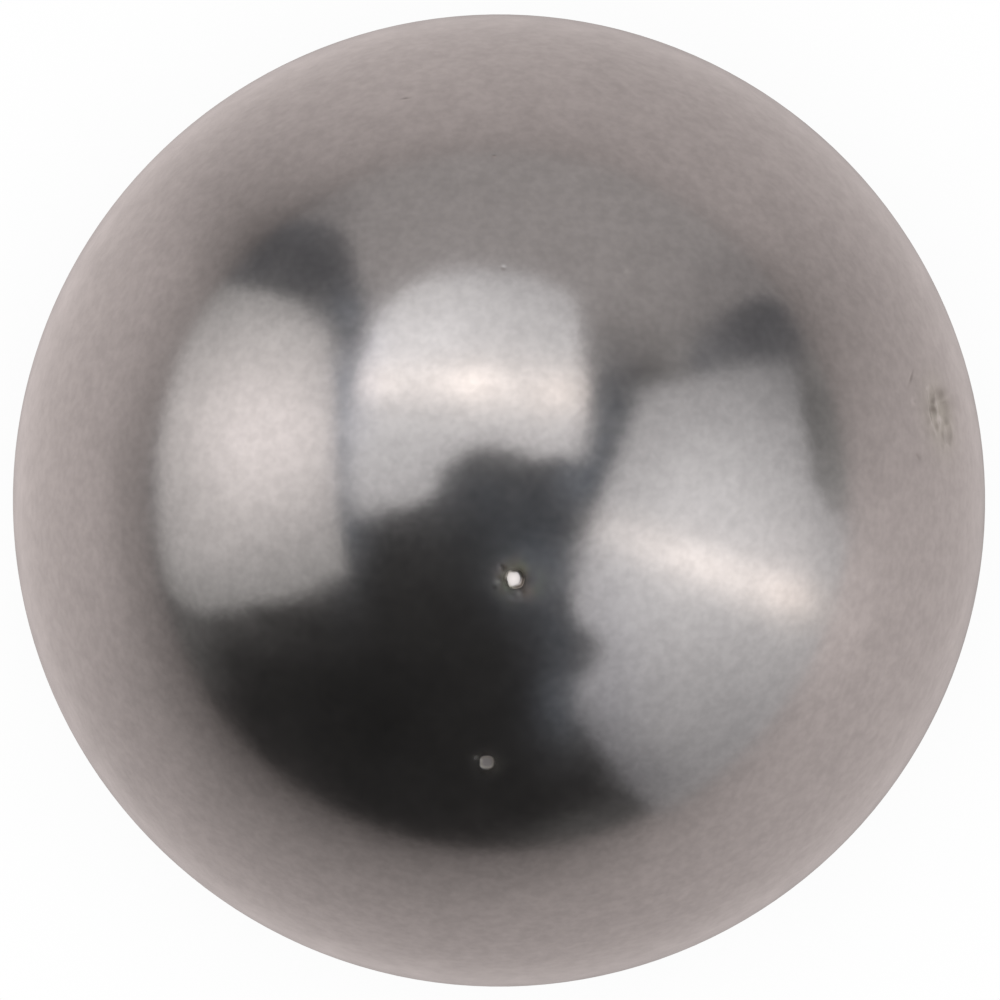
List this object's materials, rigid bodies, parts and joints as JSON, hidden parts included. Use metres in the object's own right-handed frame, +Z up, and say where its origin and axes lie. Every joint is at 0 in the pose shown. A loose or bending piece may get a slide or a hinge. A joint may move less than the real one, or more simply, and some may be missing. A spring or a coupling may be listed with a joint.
{
  "type": "steel ball",
  "caption": "Solid polished steel ball with two tiny pits near its top and a small nick on its side, for bench, desk and bearing use.",
  "frame": {"origin": "the centre of the ball", "axes": "+Z up through the middle of the side seen from above, +X to the right and +Y to the top as seen from above; the nick is on the +X side and both pits lie from the top towards -Y"},
  "size_m": [0.01, 0.01, 0.01],
  "materials": {
    "polished_steel": "polished, with a very fine grain and light handling wear"
  },
  "bodies": {
    "root": {"ball": "polished_steel"}
  },
  "joints": []
}
